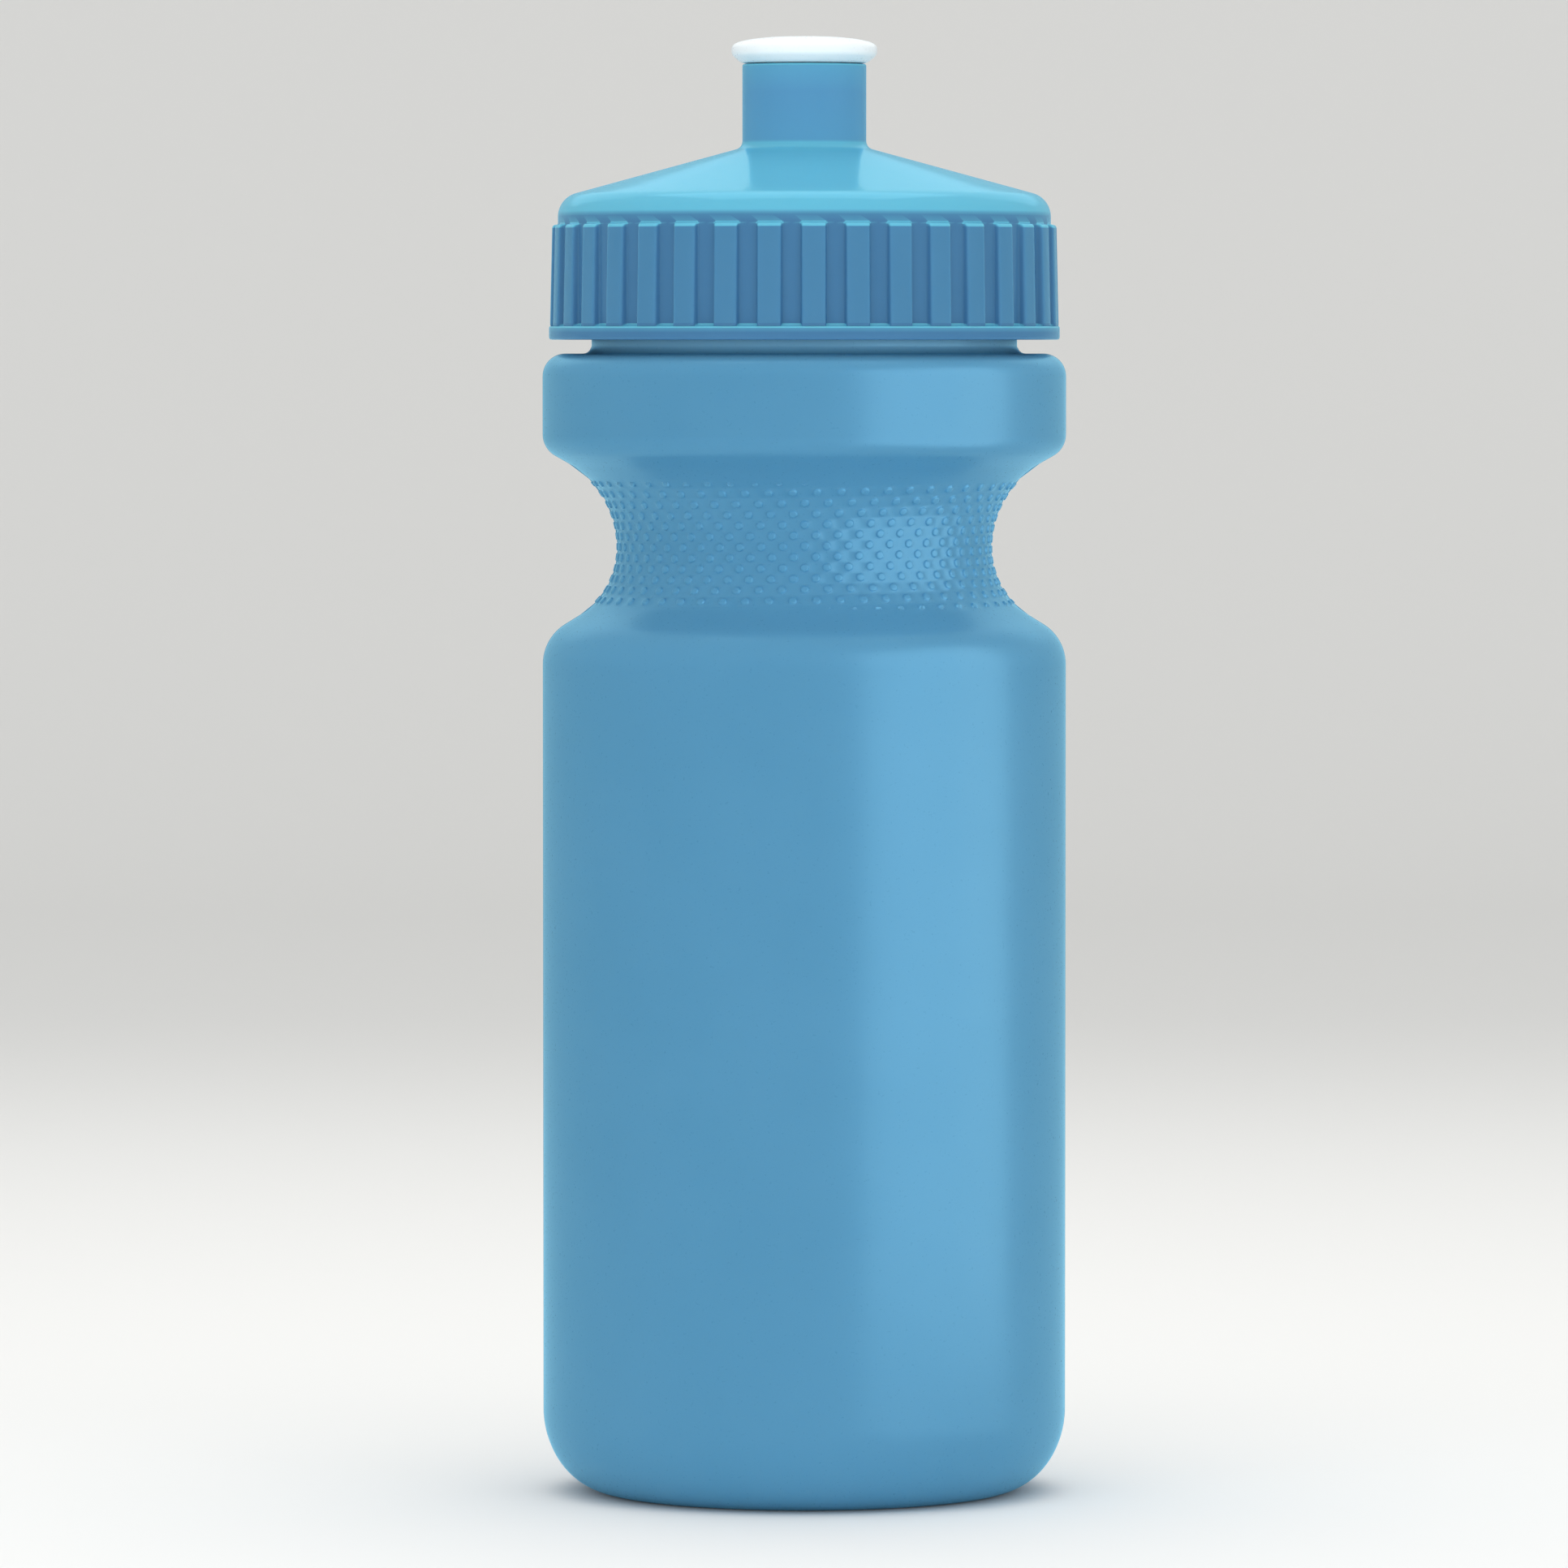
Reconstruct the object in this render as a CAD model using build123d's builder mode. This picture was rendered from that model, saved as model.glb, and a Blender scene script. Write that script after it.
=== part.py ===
"""Sports squeeze bottle with a screw lid and a push-pull spout, closed and standing on its base.

Millimetres, +Z up, the bottle's axis on Z and its standing ring on Z = 0. Each sub-part is a
separate solid: squeeze_bottle, screw_lid, lid_gasket and push_pull_spout.
"""
import os
from math import acos, atan2, cos, hypot, pi, radians, sin, tan

from build123d import *

os.makedirs("parts", exist_ok=True)

# ---- bottle ----
body_r = 36.5  # 73 mm, the size a bicycle cage is made for
wall = 1.0
base_corner_r = 9.6  # across the corner
base_corner_h = 11.5  # up the corner
foot_inner_r = 22.0
push_up_h = 3.2
body_top_z = 115.8
waist_r = 26.0
waist_z = 132.1
lower_crown_r = 6.5  # convex arc from the body into the grip
lower_hollow_r = 11.1  # concave arc of the grip
upper_hollow_r = 13.5
upper_crown_r = 3.4
ring_z = 147.9
ring_top_z = 159.1
ring_corner_r = 3.1
neck_r = 29.7
neck_bore_r = 27.7
neck_fillet = 1.2
rim_z = 177.0
rim_fillet = 0.5

# ---- grip dots ----
dots_per_row = 54
dot_rows = 13
dot_r = 0.6
dot_proud = 0.2
dot_root = 0.5  # how deep a dot is sunk in the wall
dot_row_step = 1.487
first_dot_z = 123.85
row_lean = 0.545  # the rows climb this far from the middle to the +X side
dot_band_z = 124.25  # the band of dots is cut off level at its bottom and top
dot_band_top_z = 141.35
dot_overhang = 0.35  # a dot centred further than this outside the band is left off

# ---- screw thread ----
pitch = 5.0
thread_turns = 1.5
ridge_root = 2.6
ridge_crest = 1.2
neck_thread_r = 31.6
neck_thread_z = 164.5  # middle of the ridge where it starts
lead_in = 24  # degrees over which a ridge fades out

# ---- lid ----
lid_bottom_z = 161.1
flange_r = 35.65
flange_h = 1.9
skirt_r = 34.4
skirt_bore_r = 32.0
lid_thread_r = 30.1
rib_count = 36
rib_first_angle = -88.0
rib_w = 3.3
rib_bevel = 0.35
rib_bottom_r = 35.5
rib_top_r = 35.2
rib_top_z = 177.1
shoulder_r = 3.4
cone_slope = 15.3
cone_z = 187.7  # height of the cone at cone_at_r
cone_at_r = 9.3
roof = 2.0
seat_z = 178.4
plug_r = 26.3
plug_bottom_z = 175.5
plug_w = 1.3

# ---- chimney, post and webs ----
chimney_r = 8.65
chimney_top_z = 199.5
chimney_bore_r = 7.05
lip_r = 6.58
lip_h = 3.0
sleeve_bottom_z = 181.0
post_r = 2.5
post_top_z = 203.0
web_w = 1.6
web_bottom_z = 181.5
web_top_z = 185.0

# ---- gasket ----
gasket_r = 31.7
gasket_bore_r = 26.6

# ---- spout ----
stem_r = 6.5
stem_bore_r = 4.9
stem_bottom_z = 187.2
bead_r = 6.97
bead_bottom_z = 188.0
bead_h = 2.3
orifice_r = 2.55
spout_floor_z = 199.6
spout_top_z = 203.3
spout_rim_r = 10.16
spout_roof_z = 200.6

# a solid placed by the middle of its underside
standing = (Align.CENTER, Align.CENTER, Align.MIN)


def flank_turn(crown_r, crown_z, hollow_r):
    """The angle in radians that a crown and the hollow of the grip both turn through.

    The crown, the hollow and the straight flank between them touch without a corner.
    """
    across = (waist_r + hollow_r) - (body_r - crown_r)
    up = abs(waist_z - crown_z)
    return atan2(up, across) - acos((crown_r + hollow_r) / hypot(across, up))


def arc_point(centre, radius, angle):
    """A point on a circle about centre, at an angle in radians from +X."""
    return (centre[0] + radius * cos(angle), centre[1] + radius * sin(angle))


def grip_outline(inset):
    """Draws the side of the bottle from the lower body to the ring, moved in by inset."""
    low_turn = flank_turn(lower_crown_r, body_top_z, lower_hollow_r)
    high_turn = flank_turn(upper_crown_r, ring_z, upper_hollow_r)
    low_crown = (body_r - lower_crown_r, body_top_z)
    low_hollow = (waist_r + lower_hollow_r, waist_z)
    high_hollow = (waist_r + upper_hollow_r, waist_z)
    high_crown = (body_r - upper_crown_r, ring_z)
    low_crown_r = lower_crown_r - inset
    low_hollow_r = lower_hollow_r + inset
    high_hollow_r = upper_hollow_r + inset
    high_crown_r = upper_crown_r - inset
    waist = (waist_r - inset, waist_z)
    low_flank_start = arc_point(low_crown, low_crown_r, low_turn)
    low_flank_end = arc_point(low_hollow, low_hollow_r, pi + low_turn)
    high_flank_start = arc_point(high_hollow, high_hollow_r, pi - high_turn)
    high_flank_end = arc_point(high_crown, high_crown_r, -high_turn)
    crown_middle = arc_point(low_crown, low_crown_r, low_turn / 2)
    ThreePointArc((body_r - inset, body_top_z), crown_middle, low_flank_start)
    Line(low_flank_start, low_flank_end)
    ThreePointArc(low_flank_end, arc_point(low_hollow, low_hollow_r, pi + low_turn / 2), waist)
    hollow_middle = arc_point(high_hollow, high_hollow_r, pi - high_turn / 2)
    ThreePointArc(waist, hollow_middle, high_flank_start)
    Line(high_flank_start, high_flank_end)
    crown_middle = arc_point(high_crown, high_crown_r, -high_turn / 2)
    ThreePointArc(high_flank_end, crown_middle, (body_r - inset, ring_z))


def dot_plane(z, turn):
    """A plane at a dot's root, facing out of the grip at height z and an angle round it in degrees."""
    hollow_r = lower_hollow_r if z < waist_z else upper_hollow_r
    drop = z - waist_z
    reach = (hollow_r ** 2 - drop ** 2) ** 0.5
    radius = waist_r + hollow_r - reach
    round_x, round_y = cos(radians(turn)), sin(radians(turn))
    facing = Vector(round_x * reach, round_y * reach, -drop)
    surface = Plane(origin=(radius * round_x, radius * round_y, z), z_dir=facing)
    return surface.offset(-dot_root)


def helix_plane(radius, start_z, angle):
    """A plane across a right-hand ridge, at an angle in degrees round the axis."""
    round_x, round_y = cos(radians(angle)), sin(radians(angle))
    spot = (radius * round_x, radius * round_y, start_z + pitch * angle / 360)
    return Plane(origin=spot, x_dir=(round_x, round_y, 0), z_dir=(-round_y, round_x, 0))


def ridge_points(height, scale):
    """Corners of a ridge's cross-section, with its foot sunk in the wall that it stands on.

    X is away from the axis, so a ridge on the inside of a wall has a height under 0.
    """
    foot = -0.6 if height > 0 else 0.6
    crest = height * scale
    root_half = ridge_root / 2 * (0.4 + 0.6 * scale)
    crest_half = ridge_crest / 2 * (0.4 + 0.6 * scale)
    return [(foot, -root_half), (0, -root_half), (crest, -crest_half), (crest, crest_half),
            (0, root_half), (foot, root_half)]


def thread_ridge(radius, height, start_z, start_angle):
    """One right-hand ridge of thread_turns turns, whose ends fade out over lead_in degrees."""
    with BuildPart() as ridge:
        with BuildLine() as path:
            Helix(pitch, pitch * thread_turns, radius, center=(0, 0, start_z))
        with BuildSketch(helix_plane(radius, start_z, 0)):
            with BuildLine():
                Polyline(*ridge_points(height, 1), close=True)
            make_face()
        sweep(path=path.line, is_frenet=True)
        for angle, way in ((0, -1), (360 * thread_turns, 1)):
            with BuildSketch(helix_plane(radius, start_z, angle)):
                with BuildLine():
                    Polyline(*ridge_points(height, 1), close=True)
                make_face()
            with BuildSketch(helix_plane(radius, start_z, angle + way * lead_in)):
                with BuildLine():
                    Polyline(*ridge_points(height, 0.05), close=True)
                make_face()
            loft()
    return ridge.part.rotate(Axis.Z, start_angle)


def corner(radius, z):
    """The vertex of the sketch being drawn that is nearest to a radius and height."""
    return vertices().sort_by(lambda v: hypot(v.X - radius, v.Y - z))[0]


def level_circles(z):
    """The round edges at a height, on the solid being built."""
    return edges().filter_by(GeomType.CIRCLE).filter_by_position(Axis.Z, z - 0.01, z + 0.01)


def cone_height(radius, inset):
    """Height of the lid's cone at a radius, moved down into the roof by inset."""
    slope = radians(cone_slope)
    return cone_z - (radius - cone_at_r) * tan(slope) - inset / cos(slope)


# ---- squeeze bottle ----
neck_ridge = thread_ridge(neck_r, neck_thread_r - neck_r, neck_thread_z, 0)

# raised dots in slightly leaning rows, every second row turned by half a step
dot_spots = []
for row in range(dot_rows):
    for column in range(dots_per_row):
        turn = (column + 0.5 * ((row + 1) % 2)) * 360 / dots_per_row
        z = first_dot_z + row * dot_row_step + row_lean * cos(radians(turn))
        if dot_band_z - dot_overhang < z < dot_band_top_z + dot_overhang:
            dot_spots.append(dot_plane(z, turn))

with BuildPart() as grip_dots:
    with Locations(*dot_spots):
        Cylinder(dot_r, dot_root + dot_proud, align=standing)
    with Locations((0, 0, dot_band_z)):
        Cylinder(body_r, dot_band_top_z - dot_band_z, align=standing, mode=Mode.INTERSECT)

with BuildPart() as squeeze_bottle:
    # the outside, filled
    with BuildSketch(Plane.XZ):
        with BuildLine():
            Line((0, 0), (body_r - base_corner_r, 0))
            EllipticalCenterArc((body_r - base_corner_r, base_corner_h), base_corner_r,
                                base_corner_h, start_angle=270, arc_size=90)
            Line((body_r, base_corner_h), (body_r, body_top_z))
            grip_outline(0)
            Line((body_r, ring_z), (body_r, ring_top_z - ring_corner_r))
            RadiusArc((body_r, ring_top_z - ring_corner_r),
                      (body_r - ring_corner_r, ring_top_z), -ring_corner_r)
            Line((body_r - ring_corner_r, ring_top_z), (neck_r + neck_fillet, ring_top_z))
            RadiusArc((neck_r + neck_fillet, ring_top_z),
                      (neck_r, ring_top_z + neck_fillet), neck_fillet)
            Line((neck_r, ring_top_z + neck_fillet), (neck_r, rim_z))
            Line((neck_r, rim_z), (0, rim_z))
            Line((0, rim_z), (0, 0))
        make_face()
    revolve(axis=Axis.Z)
    # the hollow
    inner_r = body_r - wall
    floor_r = inner_r - (base_corner_r - wall)
    with BuildSketch(Plane.XZ):
        with BuildLine():
            Line((0, push_up_h + wall), (foot_inner_r - 3.0, wall + 1.2))
            Line((foot_inner_r - 3.0, wall + 1.2), (floor_r, wall))
            EllipticalCenterArc((floor_r, base_corner_h), base_corner_r - wall,
                                base_corner_h - wall, start_angle=270, arc_size=90)
            Line((inner_r, base_corner_h), (inner_r, body_top_z))
            grip_outline(wall)
            Line((inner_r, ring_z), (inner_r, ring_top_z - ring_corner_r))
            RadiusArc((inner_r, ring_top_z - ring_corner_r),
                      (body_r - ring_corner_r, ring_top_z - wall), -(ring_corner_r - wall))
            Line((body_r - ring_corner_r, ring_top_z - wall), (neck_bore_r, ring_top_z - wall))
            Line((neck_bore_r, ring_top_z - wall), (neck_bore_r, rim_z + 1))
            Line((neck_bore_r, rim_z + 1), (0, rim_z + 1))
            Line((0, rim_z + 1), (0, push_up_h + wall))
        make_face()
    revolve(axis=Axis.Z, mode=Mode.SUBTRACT)
    # the push-up under the base
    with BuildSketch(Plane.XZ):
        with BuildLine():
            Line((0, -1), (foot_inner_r, -1))
            Line((foot_inner_r, -1), (foot_inner_r, 0))
            Line((foot_inner_r, 0), (foot_inner_r - 3.0, 1.2))
            Line((foot_inner_r - 3.0, 1.2), (0, push_up_h))
            Line((0, push_up_h), (0, -1))
        make_face()
    revolve(axis=Axis.Z, mode=Mode.SUBTRACT)
    fillet(level_circles(rim_z), rim_fillet)
    add(neck_ridge)
    add(grip_dots.part)
squeeze_bottle.part.label = "squeeze_bottle"
export_step(squeeze_bottle.part, "parts/squeeze_bottle.step")

# ---- screw lid ----
lid_ridge = thread_ridge(skirt_bore_r, lid_thread_r - skirt_bore_r, neck_thread_z - pitch / 4, 90)

# one grip rib, rooted in the skirt and bevelled at its top
rib_depth = rib_bottom_r - skirt_r + 0.6
with BuildPart() as rib:
    for z, outer_r, trim in ((lid_bottom_z + flange_h - 0.5, rib_bottom_r, 0),
                             (rib_top_z - rib_bevel, rib_top_r, 0),
                             (rib_top_z, rib_top_r - rib_bevel, 2 * rib_bevel)):
        with BuildSketch(Plane.XY.offset(z)):
            with Locations((outer_r - rib_depth / 2, 0)):
                RectangleRounded(rib_depth, rib_w - trim, 0.45)
    loft(ruled=True)

with BuildPart() as screw_lid:
    # skirt, rounded shoulder, cone and chimney
    with BuildSketch(Plane.XZ):
        with BuildLine():
            Polyline((skirt_bore_r, lid_bottom_z), (flange_r, lid_bottom_z),
                     (flange_r, lid_bottom_z + flange_h), (skirt_r, lid_bottom_z + flange_h),
                     (skirt_r, cone_height(skirt_r, 0)), (chimney_r, cone_height(chimney_r, 0)),
                     (chimney_r, chimney_top_z), (lip_r, chimney_top_z),
                     (lip_r, chimney_top_z - lip_h), (chimney_bore_r, chimney_top_z - lip_h),
                     (chimney_bore_r, sleeve_bottom_z), (chimney_r, sleeve_bottom_z),
                     (chimney_r, cone_height(chimney_r, roof)),
                     (plug_r - plug_w, cone_height(plug_r - plug_w, roof)),
                     (plug_r - plug_w, plug_bottom_z), (plug_r, plug_bottom_z),
                     (plug_r, seat_z), (skirt_bore_r, seat_z), close=True)
        make_face()
        fillet(corner(skirt_r, cone_height(skirt_r, 0)), shoulder_r)
        fillet(corner(chimney_r, cone_height(chimney_r, 0)), 0.9)
        fillet([corner(flange_r, lid_bottom_z), corner(flange_r, lid_bottom_z + flange_h)], 0.4)
        fillet(corner(chimney_r, chimney_top_z), 0.3)
    revolve(axis=Axis.Z)
    add(lid_ridge)
    # grip ribs, with a small bevel at the top of each
    with PolarLocations(0, rib_count, rib_first_angle):
        add(rib.part)
    # centre post on three webs
    with Locations((0, 0, web_bottom_z)):
        Cylinder(post_r, post_top_z - web_bottom_z, align=standing)
    chamfer(level_circles(post_top_z), 0.3)
    with PolarLocations(0, 3, 30):
        with Locations((0, 0, web_bottom_z)):
            Box(chimney_bore_r + 0.5, web_w, web_top_z - web_bottom_z,
                align=(Align.MIN, Align.CENTER, Align.MIN))
screw_lid.part.label = "screw_lid"
export_step(screw_lid.part, "parts/screw_lid.step")

# ---- gasket ----
with BuildPart() as lid_gasket:
    with BuildSketch(Plane.XZ):
        with Locations(((gasket_r + gasket_bore_r) / 2, (rim_z + seat_z) / 2)):
            RectangleRounded(gasket_r - gasket_bore_r, seat_z - rim_z, 0.2)
    revolve(axis=Axis.Z)
lid_gasket.part.label = "lid_gasket"
export_step(lid_gasket.part, "parts/lid_gasket.step")

# ---- push-pull spout ----
with BuildPart() as push_pull_spout:
    with BuildSketch(Plane.XZ):
        with BuildLine():
            Polyline((stem_r, spout_floor_z), (stem_r, bead_bottom_z + bead_h),
                     (bead_r, bead_bottom_z + bead_h - 0.4), (bead_r, bead_bottom_z),
                     (stem_r - 0.2, stem_bottom_z), (stem_bore_r, stem_bottom_z),
                     (stem_bore_r, spout_roof_z - 0.8), (stem_bore_r - 0.8, spout_roof_z),
                     (orifice_r, spout_roof_z), (orifice_r, spout_top_z))
            ThreePointArc((orifice_r, spout_top_z), (7.4, 202.95), (9.45, 202.45))
            ThreePointArc((9.45, 202.45), (spout_rim_r, 201.35), (9.6, 200.25))
            Line((9.6, 200.25), (8.7, spout_floor_z))
            Line((8.7, spout_floor_z), (stem_r, spout_floor_z))
        make_face()
    revolve(axis=Axis.Z)
push_pull_spout.part.label = "push_pull_spout"
export_step(push_pull_spout.part, "parts/push_pull_spout.step")
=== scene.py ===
"""A sports squeeze bottle: blow-moulded body, ribbed screw lid, sealing gasket and push-pull spout.

Shapes are worked out in millimetres, with the bottle's axis on Z and its standing ring on Z = 0, and
turned into metres when a mesh is made.
"""
from math import acos, asin, atan2, cos, degrees, hypot, pi, radians, sin, sqrt, tan

import bmesh
import bpy
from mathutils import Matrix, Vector


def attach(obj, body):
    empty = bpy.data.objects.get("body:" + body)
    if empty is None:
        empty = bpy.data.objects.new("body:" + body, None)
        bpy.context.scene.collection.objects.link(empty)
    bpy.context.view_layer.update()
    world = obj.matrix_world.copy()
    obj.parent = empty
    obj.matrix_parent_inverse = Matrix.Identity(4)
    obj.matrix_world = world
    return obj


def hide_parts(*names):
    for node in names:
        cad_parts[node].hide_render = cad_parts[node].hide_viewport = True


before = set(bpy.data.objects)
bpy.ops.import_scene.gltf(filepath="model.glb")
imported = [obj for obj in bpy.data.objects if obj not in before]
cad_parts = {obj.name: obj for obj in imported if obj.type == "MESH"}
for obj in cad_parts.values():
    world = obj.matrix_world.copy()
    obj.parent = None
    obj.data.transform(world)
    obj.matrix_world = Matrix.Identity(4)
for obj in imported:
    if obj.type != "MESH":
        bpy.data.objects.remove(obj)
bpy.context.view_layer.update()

MM = 0.001

# ---- bottle, in mm ----
BODY_R = 36.5
WALL = 1.0
CORNER_R, CORNER_H = 9.6, 11.5
FOOT_INNER_R = 22.0
PUSH_UP = 3.2
PUSH_UP_EDGE_R, PUSH_UP_EDGE_Z = 19.0, 1.2  # where the push-up bends down to the foot
BODY_TOP_Z = 115.8
WAIST_R, WAIST_Z = 26.0, 132.1
LOWER_CROWN_R, LOWER_HOLLOW_R = 6.5, 11.1
UPPER_HOLLOW_R, UPPER_CROWN_R = 13.5, 3.4
RING_Z, RING_TOP_Z, RING_CORNER_R = 147.9, 159.1, 3.1
NECK_R, NECK_BORE_R, NECK_FILLET = 29.7, 27.7, 1.2
RIM_Z = 177.0
# across a mould seam as (sideways, height over the wall): its edges are sunk in the wall
PARTING_LINE = ((-0.2, -0.1), (-0.16, 0.0), (-0.06, 0.06), (0.06, 0.06), (0.16, 0.0), (0.2, -0.1))
SEAM_STATIONS = (-14.0, -13.2, -10.0, -5.0, 0.0, 5.0, 10.0, 13.2, 14.0)
SEAM_FULL_TO, SEAM_PROUD = 13.5, 0.35  # the pinch-off seam fades out past this distance

# ---- grip dots ----
DOTS_PER_ROW = 54
DOT_ROWS = 13
DOT_ROW_STEP = 1.487
FIRST_DOT_Z = 123.85
DOT_BAND = (124.25, 141.35)  # the dots are cut off outside these heights
DOT_LEAN = 0.545  # how far the rows climb from the axis to the +X side
DOT_R, DOT_PROUD = 0.6, 0.28

# ---- thread ----
PITCH = 5.0
THREAD_TURNS = 1.5
THREAD_STEP = 4.0  # degrees between the thread's sections
NECK_THREAD_Z = 164.5
LEAD_IN = 24.0  # degrees over which each end of a thread fades out

# ---- lid ----
LID_BOTTOM_Z, FLANGE_TOP_Z = 161.1, 163.0
FLANGE_R, SKIRT_R, SKIRT_BORE_R = 35.65, 34.4, 32.0
RIB_COUNT, RIB_FIRST_ANGLE = 36, -88.0
RIB_BOTTOM_R, RIB_TOP_R, RIB_TOP_Z = 35.5, 35.2, 177.1
SHOULDER_R = 3.4
CONE_SLOPE = radians(15.3)
CONE_Z, CONE_AT_R = 187.7, 9.3
ROOF = 2.0
SEAT_Z, PLUG_R, PLUG_BOTTOM_Z, PLUG_W = 178.4, 26.3, 175.5, 1.3
CHIMNEY_R, CHIMNEY_TOP_Z, CHIMNEY_BORE_R = 8.65, 199.5, 7.05
CONE_END_R = CHIMNEY_R + 2.4  # the cone's plain part stops short of the fillet at the chimney
LIP_R, LIP_H = 6.58, 3.0
SLEEVE_BOTTOM_Z = 181.0
POST_R, POST_TOP_Z = 2.5, 203.0
WEB_W, WEB_BOTTOM_Z, WEB_TOP_Z = 1.6, 181.5, 185.0
WEB_BEVEL = 0.3
RIB_FOOT_H, RIB_BEVEL = 0.3, 0.4

# ---- gasket and spout ----
GASKET_R, GASKET_BORE_R = 31.7, 26.6
STEM_R, STEM_BORE_R, STEM_BOTTOM_Z = 6.5, 4.9, 187.2
BEAD_R, BEAD_BOTTOM_Z, BEAD_H = 6.97, 188.0, 2.3
ORIFICE_R = 2.55
SPOUT_FLOOR_Z, SPOUT_TOP_Z, SPOUT_RIM_R, SPOUT_ROOF_Z = 199.6, 203.3, 10.16, 200.6


# ---- outlines: lists of (radius, height) ----
def line(start, end, steps=1):
    """Points from start to end, without start."""
    return [(start[0] + (end[0] - start[0]) * i / steps, start[1] + (end[1] - start[1]) * i / steps)
            for i in range(1, steps + 1)]


def arc(centre, radii, first, last, steps):
    """Points round an ellipse from one angle to another, in radians, both ends included."""
    return [(centre[0] + radii[0] * cos(first + (last - first) * i / steps),
             centre[1] + radii[1] * sin(first + (last - first) * i / steps))
            for i in range(steps + 1)]


def rounded(points, radius, steps=4):
    """An open outline with its inner corners rounded; radius is one number, or one per corner."""
    radii = radius if isinstance(radius, (list, tuple)) else [radius] * (len(points) - 2)
    out = [points[0]]
    for before, corner, after, size in zip(points, points[1:], points[2:], radii):
        to_before = Vector(before) - Vector(corner)
        to_after = Vector(after) - Vector(corner)
        reach = min(size, to_before.length * 0.49, to_after.length * 0.49)
        if reach < 1e-4:
            out.append(corner)
            continue
        first = Vector(corner) + to_before.normalized() * reach
        last = Vector(corner) + to_after.normalized() * reach
        for i in range(steps + 1):
            t = i / steps
            spot = first * (1 - t) ** 2 + Vector(corner) * 2 * t * (1 - t) + last * t ** 2
            out.append((spot.x, spot.y))
    out.append(points[-1])
    return out


def flank_turn(crown_r, crown_z, hollow_r):
    """The angle that the crown and the hollow of the grip both turn through."""
    across = (WAIST_R + hollow_r) - (BODY_R - crown_r)
    up = abs(WAIST_Z - crown_z)
    return atan2(up, across) - acos((crown_r + hollow_r) / hypot(across, up))


LOW_TURN = flank_turn(LOWER_CROWN_R, BODY_TOP_Z, LOWER_HOLLOW_R)
HIGH_TURN = flank_turn(UPPER_CROWN_R, RING_Z, UPPER_HOLLOW_R)


def grip_lower(inset, end_z, steps):
    """The side from the body's top to a height in the grip's lower hollow."""
    crown = arc((BODY_R - LOWER_CROWN_R, BODY_TOP_Z), [LOWER_CROWN_R - inset] * 2, 0, LOW_TURN, steps)
    radius = LOWER_HOLLOW_R + inset
    last = pi + asin((WAIST_Z - end_z) / radius)
    hollow = arc((WAIST_R + LOWER_HOLLOW_R, WAIST_Z), [radius] * 2, pi + LOW_TURN, last,
                 max(2, steps // 3))
    return crown + line(crown[-1], hollow[0], 2)[:-1] + hollow


def grip_upper(inset, start_z, steps):
    """The side from a height in the grip's upper hollow to the ring."""
    radius = UPPER_HOLLOW_R + inset
    first = pi - asin((start_z - WAIST_Z) / radius)
    hollow = arc((WAIST_R + UPPER_HOLLOW_R, WAIST_Z), [radius] * 2, first, pi - HIGH_TURN,
                 max(2, steps // 3))
    crown = arc((BODY_R - UPPER_CROWN_R, RING_Z), [UPPER_CROWN_R - inset] * 2, -HIGH_TURN, 0, steps)
    return hollow + line(hollow[-1], crown[0], 2)[:-1] + crown


def grip_at(z, inset=0.0):
    """The grip's radius at a height, and its outward normal as (radial, up)."""
    flank_z = WAIST_Z - (LOWER_HOLLOW_R + inset) * sin(LOW_TURN)
    if z < flank_z:
        radius = WAIST_R + LOWER_HOLLOW_R - (LOWER_HOLLOW_R + inset) * cos(LOW_TURN)
        return radius + (flank_z - z) * tan(LOW_TURN), (cos(LOW_TURN), sin(LOW_TURN))
    hollow_r = LOWER_HOLLOW_R if z < WAIST_Z else UPPER_HOLLOW_R
    drop = z - WAIST_Z
    reach = sqrt((hollow_r + inset) ** 2 - drop ** 2)
    return WAIST_R + hollow_r - reach, (reach / (hollow_r + inset), -drop / (hollow_r + inset))


def cone_height(radius, inset=0.0):
    """The lid's cone at a distance from the axis, or its underside when inset by the roof."""
    return CONE_Z - (radius - CONE_AT_R) * tan(CONE_SLOPE) - inset / cos(CONE_SLOPE)


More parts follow.
